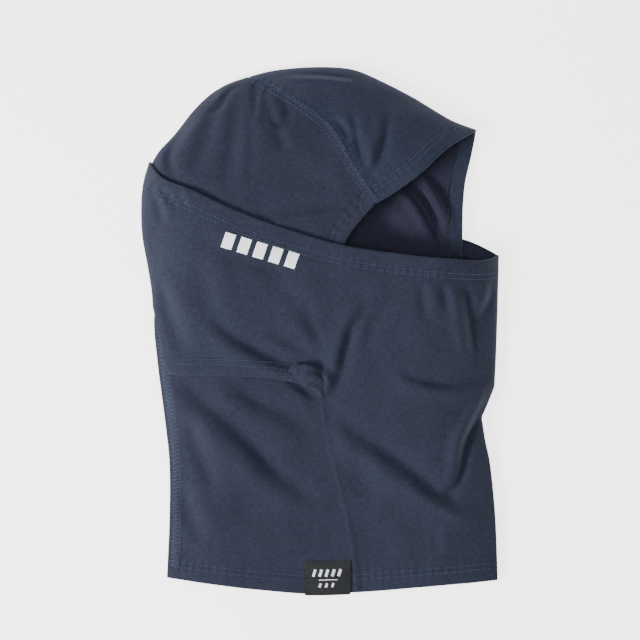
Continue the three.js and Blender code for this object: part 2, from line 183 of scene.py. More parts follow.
maskTopFar = spline(
    maskBackTop, (-118, 124), (-63, 107), (-19, 94), (19, 85.5), (65, 78), (112, 72), maskFrontTop,
)
rearEdgeNear = spline(
    maskBackEnd, (-128.6, 1), (-124.6, -15), (-120.6, -30.5), (-112, -33.8), (-60, -35), (-20, -40), hinge,
)
rearEdgeFar = spline(maskBackEnd, (-90, -8), (-40, -34), hinge)
chinLine = spline(hinge, (60, -48), (100, -46), maskFrontEnd)

hoodFolds = [resample(np.vstack([backFold, crownFold]), 3.0)]
frontFolds = [
    spline((-128, -62), (-132, -30), *maskBackFold[::30], maskBackTop, step=3.0),
    resample(np.vstack([neckFrontFold, maskFrontFold]), 3.0),
]
coarseSideSeam = resample(sideSeam, 4.0)

# wrinkles
# Each is (line, depth, width, lip, side): a valley of that depth and width, with a raised lip, as a share of
# its depth along its left (+1) or right (-1) side. A negative depth is a ridge.
hoodCreases = [
    ([(-51, 196), (-51, 182), (-51, 166)], 1.6, 2.6, 0.5, 1),
    ([(-39, 178), (-37, 166), (-32, 162), (-26, 167), (-20, 175)], 1.7, 2.6, 0.6, 1),
    ([(-33, 161), (-28, 140)], 1.4, 3.6, 0.5, 1),
    ([(-65, 186), (-68, 150), (-75, 108)], 2.0, 5.5, 0.6, 1),
    ([(-57, 182), (-54, 150), (-56, 118)], 1.4, 4.5, 0.6, 1),
    ([(-79, 184), (-90, 152), (-103, 120)], 2.0, 5.5, 0.6, -1),
    ([(-44, 192), (-43, 178), (-45, 158)], 1.2, 2.6, 0.5, 1),
    ([(-30, 184), (-27, 176), (-25, 168)], 1.0, 2.6, 0.5, -1),
    ([(-111, 160), (-118, 148), (-120, 136), (-114, 120)], 2.4, 3.6, 0.3, -1),
    ([(-60, 197), (-72, 190), (-79, 178), (-88, 172)], 2.0, 2.6, 0.8, -1),
    ([(8, 166), (15, 163), (21, 155), (22, 146)], 1.3, 2.6, 0.7, 1),
    ([(25, 173), (29, 152), (35, 133), (39, 119)], 1.6, 3.0, 0.7, 1),
    ([(54, 172), (50.5, 147), (44, 130), (39, 118)], 1.9, 3.2, 0.8, -1),
    ([(-51, 79), (-16, 88), (22, 93)], -1.6, 4.0, 0.5, 1),
    ([(-40, 112), (-10, 120), (14, 112)], 1.3, 8.0, 0.5, 1),
    ([(60, 140), (76, 152), (96, 160)], 1.0, 7.0, 0.6, 1),
    ([(-28, 203), (0, 202.6), (28, 199)], 1.4, 1.8, 0.8, -1),
]
frontCreases = [
    ([(-86, 13), (-68, -4), (-48, -15), (-26, -25), (-5, -24), (7, -30), (11, -39)], 3.0, 4.6, 0.8, -1),
    ([(-10, 30), (-8, 10), (-2, -6), (3, -18)], 1.0, 3.6, 0.7, -1),
    ([(-40, 0), (-20, -10), (-6, -16)], 1.6, 4.5, 0.6, 1),
    ([(39, 19), (27, 4), (21.5, -14), (16, -38), (11, -53)], 2.6, 3.6, 0.9, -1),
    ([(60, 30), (44, 8), (36, -20)], 1.3, 6.0, 0.6, -1),
    ([(112, 40), (117, 24), (120, 2), (124, -28)], 2.6, 4.0, 0.8, -1),
    ([(140, 42), (135, 22), (124, 6)], 1.8, 3.2, 0.7, -1),
    ([(62, -31), (76, -37), (92, -40.5), (110, -41.5), (131, -35)], 2.4, 3.6, 0.8, -1),
    ([(80, 39), (83, 8)], 1.3, 3.5, 0.6, 1),
    ([(95, 37), (102, 14)], 1.2, 3.4, 0.6, 1),
    ([(-95, 73), (-74, 61), (-55, 55), (-37, 48), (-12, 41)], 1.5, 6.0, 0.7, 1),
    ([(-128, 40), (-121, 18), (-112, -5), (-103, -20)], 2.2, 5.5, 0.5, 1),
    ([(-126, 112), (-118, 103), (-112, 97)], 1.0, 2.2, 0.7, 1),
    ([(-112, 107), (-104, 96)], 0.9, 2.0, 0.7, 1),
    ([(-134, 108), (-128, 98), (-124, 82)], 1.2, 3.0, 0.6, 1),
    ([(-100, 60), (-90, 30), (-86, 4)], 1.3, 7.0, 0.6, 1),
    ([(-40, 40), (-20, 24), (-12, 4)], 1.4, 6.0, 0.6, 1),
    ([(3.5, -31), (6, -42), (2, -53)], -2.0, 2.6, 0.3, 1),
]
neckCreases = [  # below the hinge, over both panels
    ([(-118, -34), (-97, -51), (-77, -67), (-56, -86), (-37, -107), (-17, -124), (4, -137)],
     3.8, 7.0, 0.8, -1),
    ([(-103, -66), (-98, -91), (-89, -111), (-82, -126)], 2.2, 5.0, 0.6, 1),
    ([(-112, -121), (-104, -145), (-92, -168)], 2.2, 5.5, 0.7, 1),
    ([(-76, -38), (-49, -55), (-24, -67), (-4, -82)], 2.6, 6.5, 0.7, -1),
    ([(-26, -38), (-15, -44), (-2, -54)], 3.0, 3.6, 0.3, -1),
    ([(-60, -180), (-20, -188), (14, -180)], 1.2, 8.0, 0.4, 1),
    ([(-80, -150), (-40, -140), (0, -158)], 1.4, 9.0, 0.5, 1),
    ([(9, -56), (25, -77), (50, -93), (74, -110), (94, -127), (111, -136), (128, -137)], 3.6, 6.5, 0.8, -1),
    ([(152, -34), (129, -68), (119, -83.5), (114.7, -97), (113, -109), (109, -122), (97, -133)],
     4.6, 3.4, 0.8, -1),
    ([(66, -120), (92, -138), (112, -147), (128, -145)], -1.8, 4.5, 0.6, -1),
    ([(62, -150), (90, -158)], 1.2, 6.0, 0.5, 1),
    ([(91, -150), (92, -176)], 0.9, 4.0, 0.5, 1),
    ([(28, -148), (60, -176)], 1.2, 9.0, 0.5, 1),
    ([(20, -100), (34, -120), (44, -146)], 1.3, 8.0, 0.5, 1),
]
farCreases = [
    ([(52, 118), (62, 109.5), (74, 99), (88, 73)], -3.4, 4.2, 0.4, 1),
    ([(66, 124), (74, 116), (83, 103), (91, 88), (97, 66)], 4.2, 3.4, 0.5, 1),
    ([(80, 124), (92, 102), (101, 86)], -2.4, 3.2, 0.4, 1),
    ([(40, 96), (54, 84), (70, 62)], 2.2, 6.0, 0.5, 1),
]


crease = {"gain": 1.55, "valley": 0.6, "trough": 0.4, "lipAt": 2.2, "lipWidth": 1.7}


def creased(xy, creases):
    z = np.zeros(xy.shape[:-1])
    for knots, depth, width, lip, side in creases:
        line = spline(*knots, step=max(width * 0.8, 2.0))
        low, high = line.min(0) - 6 * width, line.max(0) + 6 * width
        inside = np.all((xy > low) & (xy < high), axis=-1)
        if not inside.any():
            continue
        distance, run, hand = nearest(line, xy[inside])
        taper = np.sin(np.pi * np.clip(run / runOf(line), 0, 1)) ** 0.7
        fromLip = (distance * hand * side - crease["lipAt"] * width) / (crease["lipWidth"] * width)
        valley = np.exp(-((distance / width) ** 2))
        profile = lip * np.exp(-(fromLip**2)) - crease["valley"] * valley - crease["trough"] * np.sqrt(valley)
        z[inside] += crease["gain"] * depth * taper * profile
    return z


waves = [(rng.uniform(22, 70), rng.uniform(0, math.tau), rng.uniform(0, math.tau)) for _ in range(9)]
ripples = [(rng.uniform(9, 19), rng.uniform(0, math.tau), rng.uniform(0, math.tau)) for _ in range(10)]


def wavy(xy, lengths):
    z = np.zeros(xy.shape[:-1])
    for length, heading, phase in lengths:
        cosine, sine = math.cos(heading), math.sin(heading)
        across, onward = xy[..., 0] * cosine + xy[..., 1] * sine, xy[..., 1] * cosine - xy[..., 0] * sine
        bend = np.sin(onward / (2.3 * length) + 2 * phase)
        z += np.sin(across * math.tau / length + phase + 1.2 * bend) * length / 70
    return z


def undulation(xy):  # the slight unevenness of limp cloth, in broad waves and in small ripples
    where = smooth(-1, 1, wavy(xy[..., ::-1], waves))
    return wavy(xy, waves) / 3 + wavy(xy, ripples) * 0.16 * where


# A hem is thicker than the cloth, dips along its stitching and puckers there.
def hemRelief(xy, edge, height, pucker=1.0, fade=None):
    low, high = edge.min(0) - 2 * height, edge.max(0) + 2 * height
    inside = np.all((xy > low) & (xy < high), axis=-1)
    z = np.zeros(xy.shape[:-1])
    if not inside.any():
        return z
    distance, run, _ = nearest(resample(edge, 4.0), xy[inside])
    within = distance - height
    relief = hem["step"] * (1 - smooth(-1, 2.0, within))
    for row in hem["rows"]:
        relief -= hem["groove"] * np.exp(-(((within - row) / 1.2) ** 2))
    ripple = np.sin(run * math.tau / 6.3 + 1.3 * np.sin(run / 17)) * (0.6 + 0.4 * np.sin(run / 29 + 1))
    relief += hem["pucker"] * pucker * ripple * np.exp(-((within / 5) ** 2))
    if fade is not None:
        relief *= fade(run / max(runOf(edge), 1))
    z[inside] = relief
    return z


crownSeam = {"groove": 0.6, "pucker": 0.75, "every": 5.6}


def seamRelief(xy, seam):
    style = crownSeam
    distance, run, _ = nearest(resample(seam, 4.0), xy)
    z = -style["groove"] * np.exp(-((distance / 1.0) ** 2)) + 0.35 * (1 - smooth(2.6, 4.4, distance))
    ripple = np.sin(run * math.tau / style["every"] + 2 * np.sin(run / 11))
    ripple = ripple * (0.55 + 0.45 * np.sin(run / 17 + 2))
    return z + style["pucker"] * ripple * np.exp(-(((distance - 4.5) / 3.0) ** 2))


# heights above the table
def loft(y):
    stops, heights = zip(*cloth["loft"])
    below = np.clip(np.searchsorted(stops, y) - 1, 0, len(stops) - 2)
    stops, heights = np.array(stops, float), np.array(heights, float)
    share = np.clip((y - stops[below]) / (stops[below + 1] - stops[below]), 0, 1)
    return heights[below] + (heights[below + 1] - heights[below]) * (0.5 * smooth(0, 1, share) + 0.5 * share)


def rise(distance, reach):  # 0 at a fold, where the cloth stands upright, to 1 where it lies level
    left = 1 - np.clip(distance / reach, 0, 1)
    return (1 - left**2.2) ** 0.8


def foldDistance(folds, xy):
    return np.minimum.reduce([nearest(line, xy)[0] for line in folds])


def nearHeight(xy, folds, lift, relief):
    distance = foldDistance(folds, xy)
    level = loft(xy[..., 1]) + lift
    z = cloth["foldHeight"] + (level - cloth["foldHeight"]) * rise(distance, cloth["nearReach"])
    return z + relief * smooth(0.5, 12, distance)


def hoodBase(xy):
    x, y = xy[..., 0], xy[..., 1]
    edge = np.interp(x, maskTopFar[:, 0], maskTopFar[:, 1])
    overMask = 1 - smooth(*cloth["liftEnds"], y - edge)
    return cloth["hoodLift"] * overMask * smooth(*cloth["neckLiftEnds"], y)


def farHeight(xy, folds, base, relief=0):
    distance = foldDistance(folds, xy)
    z = base + (cloth["foldHeight"] - base) * (1 - rise(distance, cloth["farReach"]))
    return z + np.maximum(relief, 0) * smooth(0.5, 12, distance)


def plainSeam(xy):  # the side seam, turned in and lying in a narrow dip
    distance, run, _ = nearest(coarseSideSeam, xy)
    return (0.2 * np.sin(run / 1.6 + np.sin(run / 9)) * np.exp(-((distance / 4) ** 2))
            + 0.9 * np.exp(-((distance / 2.0) ** 2))
            - 0.15 * np.exp(-((distance / 0.8) ** 2))) * smooth(-44, -60, xy[..., 1])


def underMask(xy):  # how far the hood is covered, from 0 at the mask's edges to 1
    x, y = xy[..., 0], xy[..., 1]
    top = np.interp(x, maskTopNear[:, 0], maskTopNear[:, 1])
    rear = np.interp(x, rearEdgeNear[:, 0], rearEdgeNear[:, 1])
    return smooth(3, 14, top - y) * smooth(3, 14, y - rear)


def hoodNear(xy):
    relief = creased(xy, hoodCreases) + cloth["neckWrinkles"] * creased(xy, neckCreases)
    relief += undulation(xy) + plainSeam(xy)
    relief += hemRelief(xy, browNear, hem["height"]) + hemRelief(xy, neckEdgeBack, hem["height"])
    relief += hemRelief(xy, faceNear[-120:], hem["height"], fade=lambda t: smooth(0, 0.2, t))
    relief += seamRelief(xy, crownSeamNear)
    covered = underMask(xy)
    return nearHeight(xy, hoodFolds, 0, relief * (1 - covered) - cloth["pressedDown"] * covered)


def sewnDown(xy):
    return smooth(0, cloth["sewnDown"], nearest(coarseSideSeam, xy)[0])


def frontNear(xy):
    lift = cloth["maskLift"] * sewnDown(xy) * smooth(-130, -35, xy[..., 1])
    relief = creased(xy, frontCreases) + undulation(xy) + plainSeam(xy)
    relief += cloth["neckWrinkles"] * creased(xy, neckCreases) * smooth(-42, -56, xy[..., 1])
    relief += hemRelief(xy, maskTopNear, hem["maskHeight"], 1.3) + hemRelief(xy, neckEdgeFront, hem["height"])
    relief += hemRelief(xy, rearEdgeNear[:-60], hem["maskHeight"] - 2, fade=lambda t: smooth(0, 0.2, t))
    z = nearHeight(xy, frontFolds, lift, relief)
    lowest = nearHeight(xy, hoodFolds, 0, -cloth["pressedDown"] * underMask(xy)) + cloth["overHood"]
    overHood = smooth(-46, -36, xy[..., 1]) * smooth(0, 6, foldDistance(hoodFolds, xy))
    overHood *= smooth(4, 14, foldDistance(frontFolds, xy)) * smooth(60, 40, xy[..., 0])
    return z + overHood * np.logaddexp(0, (lowest - z) / 0.6) * 0.6


def hoodFar(xy):
    relief = creased(xy, farCreases) * cloth["farWrinkles"] + cloth["farCushion"]
    return farHeight(xy, hoodFolds, hoodBase(xy), relief * smooth(*cloth["farCushionEnds"], xy[..., 1]))


def frontFar(xy):
    return farHeight(xy, frontFolds, hoodBase(xy) * (1 - sewnDown(xy)))


# meshes
def patch(sides, u, v):  # sides: bottom and top run with u, left and right with v
    bottom, top, left, right = sides
    b, t, l, r = along(bottom, u), along(top, u), along(left, v), along(right, v)
    u, v = u[..., None], v[..., None]
    corners = (1 - v) * ((1 - u) * bottom[0] + u * bottom[-1]) + v * ((1 - u) * top[0] + u * top[-1])
    return (1 - v) * b + v * t + (1 - u) * l + u * r - corners


def foldSpaced(count, both=True):  # closer together at the ends, where the cloth bends over its folds
    t = np.linspace(0, 1, count + 1)
    bunched = (1 - np.cos(np.pi * t)) / 2 if both else 1 - np.cos(np.pi / 2 * t)
    return 0.45 * t + 0.55 * bunched


def lifted(xy, height, folded=None):
    z = height(xy)
    if folded is not None:
        z[folded] = cloth["foldHeight"]
    return np.concatenate([xy, z[..., None]], -1)


def unit(vectors):
    return vectors / np.maximum(np.linalg.norm(vectors, axis=-1, keepdims=True), 1e-9)


# The half-round turn of a hem past one edge of a grid. In every grid rows × columns point outwards.
def turnedEdge(grid, side, radius=None, closed=False):
    radius = hem["radius"] if radius is None else radius
    turned = {
        "lastColumn": grid, "firstColumn": grid[:, ::-1],
        "lastRow": grid.transpose(1, 0, 2), "firstRow": grid[::-1].transpose(1, 0, 2),
    }[side]
    edge, inside = turned[:, -1], turned[:, -2]
    out = unit(edge - inside)
    onward = np.gradient(edge, axis=0)
    if closed:
        onward[0] = onward[-1] = edge[1] - edge[-2]
    normal = unit(np.cross(onward, out)) * (1 if side in ("lastColumn", "firstRow") else -1)
    radius = np.broadcast_to(np.asarray(radius, float), len(edge))[:, None]
    columns = [edge] + [
        edge + out * radius * math.sin(a) - normal * radius * (1 - math.cos(a))
        for a in np.linspace(0, math.pi, 8)[1:]
    ]
    rim = np.stack(columns, 1)
    return rim[::-1] if side in ("firstColumn", "lastRow") else rim


def gridQuads(rows, columns):
    first = (np.arange(rows - 1)[:, None] * columns + np.arange(columns - 1)).reshape(-1, 1)
    return first + np.array([0, columns, columns + 1, 1])


def welded(*grids):
    points, quads, start = [], [], 0
    for grid in grids:
        quads.append(gridQuads(*grid.shape[:2]) + start)
        points.append(grid.reshape(-1, 3))
        start += len(points[-1])
    points, quads = np.vstack(points), np.vstack(quads)
    _, first, where = np.unique(np.round(points, 3), axis=0, return_index=True, return_inverse=True)
    quads = where.reshape(-1)[quads]
    distinct = np.array([len(set(q)) == 4 for q in quads.tolist()])
    return points[first], quads[distinct]


def normalsOf(points, quads):
    a, b, c, d = (points[quads[:, k]] for k in range(4))
    face = np.cross(c - a, d - b)
    normals = np.zeros_like(points)
    for k in range(4):
        np.add.at(normals, quads[:, k], face)
    return unit(normals)


# A closed sheet between two distances from its outside, outwards being positive.
def solid(points, quads, outer=0.0, thickness=None):
    thickness = cloth["thickness"] if thickness is None else thickness
    normals = normalsOf(points, quads)
    count = len(points)
    starts, ends = quads.reshape(-1), np.roll(quads, -1, axis=1).reshape(-1)
    there, back = starts * count + ends, ends * count + starts
    rim = ~np.isin(there, back)
    walls = np.stack([ends[rim], starts[rim], starts[rim] + count, ends[rim] + count], 1)
    faces = np.vstack([quads, quads[:, ::-1] + count, walls])
    return np.vstack([points + normals * outer, points + normals * (outer - thickness)]), faces


def rested(points, soft=0.3):  # what would dip under the table is pressed flat on it
    points = points.copy()
    low = points[:, 2] < soft
    points[low, 2] = soft * np.exp((points[low, 2] - soft) / soft)
    return points


def piece(name, points, faces, material, inside=None, sharp=50):
    points = rested(points)
    mesh = bpy.data.meshes.new(name)
    mesh.from_pydata((points * mm).tolist(), [], faces.tolist())
    mesh.polygons.foreach_set("use_smooth", np.ones(len(mesh.polygons), bool))
    mesh.set_sharp_from_angle(angle=math.radians(sharp))
    corners = np.zeros(len(mesh.loops), np.int32)
    mesh.loops.foreach_get("vertex_index", corners)
    flat = (points[corners][:, :2] / 100).astype(np.float32)
    mesh.uv_layers.new(name="cut").data.foreach_set("uv", flat.ravel())
    mesh.materials.append(material)
    if inside is not None:  # the sheet's inner faces are its second half, before the rim
        mesh.materials.append(inside[1])
        slots = np.zeros(len(mesh.polygons), np.int32)
        slots[inside[0]:2 * inside[0]] = 1
        mesh.polygons.foreach_set("material_index", slots)
    made = bpy.data.objects.new(name, mesh)
    bpy.context.scene.collection.objects.link(made)
    return made


def stepsFor(length, step=None):
    return max(int(round(length / (step or cloth["step"]))), 4)


# materials
def srgb(r, g, b):
    return tuple(((c / 255 + 0.055) / 1.055) ** 2.4 for c in (r, g, b)) + (1.0,)


# The hood, crown and front copies are one jersey. Their small differences in tone are painted light and shade:
# the crown copy is lighter and the hood copy darker.
jerseyLook = {
    "hood": srgb(26, 29, 44), "crown": srgb(28, 33, 49),
    "front": srgb(27, 31, 46), "inside": srgb(25, 26, 42),
    "roughness": 0.86, "sheen": 0.10, "wale": 0.9, "course": 0.7, "knitDepth": 0.05, "napDepth": 0.16,
    # (how fine it is each way, contrast): two sets of streaks, then speckle
    "heather": (((70, 22, 1), 0.55), ((20, 62, 1), 0.45), ((150, 150, 1), 0.4)),
}
# tones: the color's darkest and lightest share; depth in millimetres
threadLook = {"roughness": 0.7, "sheen": 0.2, "tones": (0.7, 1.3), "depth": 0.1, "strength": 0.6}
damaskLook = {"roughness": 0.6, "sheen": 0.15, "tones": (0.6, 1.5), "depth": 0.08, "strength": 0.7}
filmLook = {"roughness": 0.45, "sheen": 0.0, "tones": (0.9, 1.04), "depth": 0.05, "strength": 0.5}


def addNode(tree, kind, **inputs):
    node = tree.nodes.new("ShaderNode" + kind)
    for key, value in inputs.items():
        if hasattr(value, "is_output"):
            tree.links.new(value, node.inputs[key])
        else:
            node.inputs[key].default_value = value
    return node


def newMaterial(name, roughness, sheen=0.0):
    material = bpy.data.materials.new(name)
    material.use_nodes = True
    tree = material.node_tree
    shader = tree.nodes["Principled BSDF"]
    shader.inputs["Roughness"].default_value = roughness
    shader.inputs["Sheen Weight"].default_value = sheen
    shader.inputs["Sheen Roughness"].default_value = 0.5
    shader.inputs["Specular IOR Level"].default_value = 0.22
    shader.inputs["Sheen Tint"].default_value = (0.6, 0.7, 1.0, 1.0)
    return material, tree, shader


def mixed(tree, factor, first, second, blend="MIX"):
    node = tree.nodes.new("ShaderNodeMix")
    node.data_type = "RGBA"
    node.blend_type = blend
    for socket, value in ((node.inputs[0], factor), (node.inputs[6], first), (node.inputs[7], second)):
        if hasattr(value, "is_output"):
            tree.links.new(value, socket)
        else:
            socket.default_value = value
    return node.outputs[2]


def shade(color, share):
    return tuple(c * share for c in color[:3]) + (1.0,)


white = (1.0, 1.0, 1.0, 1.0)


def cutPlace(tree):  # where a point is on the garment as it lies
    cut = addNode(tree, "UVMap")
    cut.uv_map = "cut"
    return cut.outputs["UV"]


def multiplied(tree, first, second, operation="MULTIPLY"):
    node = addNode(tree, "Math")
    node.operation = operation
    for socket, value in zip(node.inputs, (first, second)):
        if hasattr(value, "is_output"):
            tree.links.new(value, socket)
        else:
            socket.default_value = value
    return node.outputs[0]


# Brushed stretch jersey: fine wales and courses, a short nap, and a faint heather.
def jerseyMaterial(name, color):
    look = jerseyLook
    material, tree, shader = newMaterial(name, look["roughness"], look["sheen"])
    at = cutPlace(tree)
    tone = color
    for fineness, contrast in look["heather"]:
        stretch = addNode(tree, "Mapping", Vector=at, Scale=fineness)
        streaks = addNode(tree, "TexNoise", Vector=stretch.outputs[0], Scale=1.0, Detail=2.0, Roughness=0.6)
        tone = mixed(tree, 1.0, tone, mixed(
            tree, streaks.outputs[0], shade(white, 1 - contrast), shade(white, 1 + contrast)), "MULTIPLY")
    patches = addNode(tree, "TexNoise", Vector=at, Scale=2.6, Detail=2.0)
    fade = mixed(tree, patches.outputs[0], shade(white, 0.86), shade(white, 1.14))
    tone = mixed(tree, 1.0, tone, fade, "MULTIPLY")
    tree.links.new(tone, shader.inputs["Base Color"])
    wales = addNode(tree, "TexWave", Vector=at, Scale=math.pi / 10 / (look["wale"] / 100), Distortion=0.6)
    courses = addNode(tree, "TexWave", Vector=at, Scale=math.pi / 10 / (look["course"] / 100), Distortion=0.6)
    courses.bands_direction = "Y"
    knit = multiplied(tree, wales.outputs["Fac"], courses.outputs["Fac"])
    nap = addNode(tree, "TexNoise", Vector=at, Scale=48.0, Detail=5.0, Roughness=0.65)
    knitBump = addNode(tree, "Bump", Height=knit, Distance=look["knitDepth"] * mm, Strength=0.8)
    napBump = addNode(
        tree, "Bump", Height=nap.outputs[0], Distance=look["napDepth"] * mm, Strength=0.9,
        Normal=knitBump.outputs[0])
    tree.links.new(napBump.outputs[0], shader.inputs["Normal"])
    return material


def finished(made, look, color, height):  # tone and bump from one texture
    material, tree, shader = made
    tone = mixed(tree, height, *(shade(color, share) for share in look["tones"]))
    tree.links.new(tone, shader.inputs["Base Color"])
    bump = addNode(tree, "Bump", Height=height, Distance=look["depth"] * mm, Strength=look["strength"])
    tree.links.new(bump.outputs[0], shader.inputs["Normal"])
    return material


def grainMaterial(name, color, look, scale, detail):
    made = newMaterial(name, look["roughness"], look["sheen"])
    tree = made[1]
    grain = addNode(tree, "TexNoise", Vector=cutPlace(tree), Scale=scale, Detail=detail)
    return finished(made, look, color, grain.outputs[0])


def threadMaterial(name, color):
    return grainMaterial(name, color, threadLook, 180.0, 2.0)


def damaskMaterial(name, color):
    made = newMaterial(name, damaskLook["roughness"], damaskLook["sheen"])
    tree = made[1]
    at = cutPlace(tree)
    warp = addNode(tree, "TexWave", Vector=at, Scale=80.0, Distortion=0.3)
    weft = addNode(tree, "TexWave", Vector=at, Scale=95.0, Distortion=0.3)
    weft.bands_direction = "Y"
    both = multiplied(tree, warp.outputs["Fac"], weft.outputs["Fac"], "ADD")
    return finished(made, damaskLook, color, multiplied(tree, both, 0.5))


hoodJersey = jerseyMaterial("hoodJersey", jerseyLook["hood"])
crownJersey = jerseyMaterial("crownJersey", jerseyLook["crown"])
frontJersey = jerseyMaterial("frontJersey", jerseyLook["front"])
# The inside jersey is darker than the outside. A little of that is the brushed back's own tone; most of it is
# painted shade for the garment's shadowed inside.
shadedInsideJersey = jerseyMaterial("shadedInsideJersey", jerseyLook["inside"])
seamThread = threadMaterial("seamThread", srgb(42, 49, 69))
# Thread of the far, inner seams: the same thread as the seams outside, painted darker as painted shade.
shadedInnerThread = threadMaterial("shadedInnerThread", srgb(29, 33, 48))
labelWeave = damaskMaterial("labelWeave", srgb(7, 8, 11))
labelLight = threadMaterial("labelLightThread", srgb(205, 208, 214))
satinTape = damaskMaterial("satinTape", srgb(212, 212, 208))
printFilm = grainMaterial("printFilm", srgb(225, 229, 232), filmLook, 60.0, 3.0)

# the panels
print("panels")
crownTip = 0.01  # the crown's point is cut off by this share of its length


def part(edge, start, end):
    return along(edge, np.linspace(start, end, len(edge)))


def crownSides(seam, brow):
    bottom, top = part(seam, crownTip, 1), part(crownFold, crownTip, 1)
    return bottom, top, np.linspace(bottom[0], top[0], 50), brow


def crownHalf(seam, brow, height):
    sides = crownSides(seam, brow)
    u = np.linspace(0, 1, stepsFor(spans["crown"])) ** 1.15
    t = foldSpaced(stepsFor(spans["crownDepth"]), both=False)[::-1]
    v = 1 - t  # bunched at the fold
    gap = cloth["seamGap"] / np.maximum(np.linalg.norm(along(sides[0], u) - along(sides[1], u), axis=1), 3)
    vv = gap + (1 - gap) * (v / v.max())[:, None]
    uu = np.broadcast_to(u * (1 - hem["radius"] / spans["crown"]), vv.shape)
    folded = np.zeros(vv.shape, bool)
    folded[-1] = True
    return lifted(patch(sides, uu, vv), height, folded)


def makeCrown():
    far = crownHalf(crownSeamFar, browFar, hoodFar)
    near = crownHalf(crownSeamNear, browNear, hoodNear)
    grid = np.concatenate([far, near[::-1][1:]])
    points, quads = welded(grid, turnedEdge(grid, "lastColumn"))
    return piece("crown", *solid(points, quads), crownJersey, (len(quads), shadedInsideJersey))


def sideSides(face, seam):
    return neckEdgeBack, seam, backFold, np.vstack([sideSeam, face[1:]])


def makeSide(name, face, seam, height, step, isFar):
    sides = sideSides(face, seam)
    rows, columns = stepsFor(spans["sideWidth"], step), stepsFor(spans["side"], step)
    u, v = np.meshgrid(foldSpaced(rows), np.linspace(0, 1, columns + 1), indexing="ij")
    widths = np.linalg.norm(along(sides[2], v[0]) - along(sides[3], v[0]), axis=1)
    atFace = smooth(0, 12, v[0] * (runOf(sideSeam) + runOf(face)) - runOf(sideSeam))
    trim = cloth["seamGap"] + (hem["radius"] - cloth["seamGap"]) * atFace
    u = (cloth["seamGap"] + (widths - cloth["seamGap"] - trim) * u) / widths
    v = v * (1 - cloth["seamGap"] / spans["side"])
    grid = lifted(patch(sides, u, v), height)
    grid = grid[::-1] if isFar else grid
    bottom = turnedEdge(grid, "firstColumn")
    face = turnedEdge(grid, "firstRow" if isFar else "lastRow", np.maximum(atFace, 0.5) * hem["radius"])
    seamEnd = int(np.argmax(atFace > 0.3))
    points, quads = welded(grid, bottom, face[seamEnd:] if isFar else face[:-seamEnd])
    return piece(name, *solid(points, quads), hoodJersey, (len(quads), shadedInsideJersey))


crown = makeCrown()
rightSide = makeSide("rightSidePanel", faceNear, crownSeamNear, hoodNear, cloth["step"], False)
leftSide = makeSide("leftSidePanel", faceFar, crownSeamFar, hoodFar, cloth["farStep"], True)

# The mask and the front of the neck are one piece of cloth: a ring, with the neck hanging from its front
# half.
rearNear = np.vstack([rearEdgeNear, chinLine[1:]])
rearFar = np.vstack([rearEdgeFar, chinLine[1:]])
maskSidesNear = (rearNear, maskTopNear, maskBackFold, maskFrontFold)
maskSidesFar = (rearFar, maskTopFar, maskBackFold, maskFrontFold)
neckSides = (neckEdgeFront, chinLine, sideSeam, neckFrontFold)
hingeNear = (len(rearEdgeNear) - 1) / (len(rearNear) - 1)
hingeFar = (len(rearEdgeFar) - 1) / (len(rearFar) - 1)


def towardsFold(start, end, count, foldAtEnd):
    t = foldSpaced(count, both=False)
    t = t / t.max()
    share = 1 - t[::-1] if foldAtEnd else t
    return start + (end - start) * share


nearSteps, farSteps = stepsFor(spans["maskHalf"]), stepsFor(spans["maskHalf"], cloth["farStep"])


def maskRing(ds=None):  # the whole loop, or only the part at distances ds below its top edge
    up = stepsFor(spans["maskDepth"])
    us = {
        "nearFront": towardsFold(hingeNear, 1, nearSteps, True),
        "farFront": towardsFold(1, hingeFar, farSteps, False),
        "farRear": towardsFold(hingeFar, 0, farSteps, True),
        "nearRear": towardsFold(0, hingeNear, nearSteps, False),
    }
    rows = []
    for name, u in us.items():
        sides, height = (maskSidesNear, frontNear) if "near" in name else (maskSidesFar, frontFar)
        uu, vv = np.meshgrid(u if name == "nearFront" else u[1:], np.linspace(0, 1, up + 1), indexing="ij")
        if ds is not None:
            size = np.linalg.norm(along(sides[0], uu[:, 0]) - along(sides[1], uu[:, 0]), axis=1)
            uu = uu[:, : len(ds)]
            vv = 1 - np.array(ds)[::-1] / size[:, None]
        rows.append(lifted(patch(sides, uu, vv), height, (uu == 0) | (uu == 1)))
    return np.concatenate(rows), [len(r) for r in rows]


def neckGrid():
    down = stepsFor(spans["neck"])
    nearU = (towardsFold(hingeNear, 1, nearSteps, True) - hingeNear) / (1 - hingeNear)
    farU = (towardsFold(1, hingeFar, farSteps, False)[1:] - hingeFar) / (1 - hingeFar)
    grids = []
    for u, height in ((nearU, frontNear), (farU, frontFar)):
        uu, vv = np.meshgrid(u, np.linspace(0, 1, down + 1), indexing="ij")
        grids.append(lifted(patch(neckSides, uu, vv), height, uu == 1))
    return np.concatenate(grids)


def makeFront():
    ring, counts = maskRing()
    frontRows = counts[0] + counts[1]
    rear = ring[frontRows - 1:]
    rim = turnedEdge(rear[2:-2], "firstColumn", hem["radius"] * 1.3)
    neck = neckGrid()
    points, quads = welded(
        ring, turnedEdge(ring, "lastColumn", closed=True), rim, neck, turnedEdge(neck, "firstColumn"))
    return piece("maskAndFront", *solid(points, quads), frontJersey, (len(quads), shadedInsideJersey))


front = makeFront()

# turned-in hem layers
print("hems")
hemLayer = {"under": 1.15, "thickness": 0.85, "start": 1.0}


def layerPiece(name, grid, material):
    points, quads = welded(grid)
    return piece(name, *solid(points, quads, -hemLayer["under"], hemLayer["thickness"]), material)


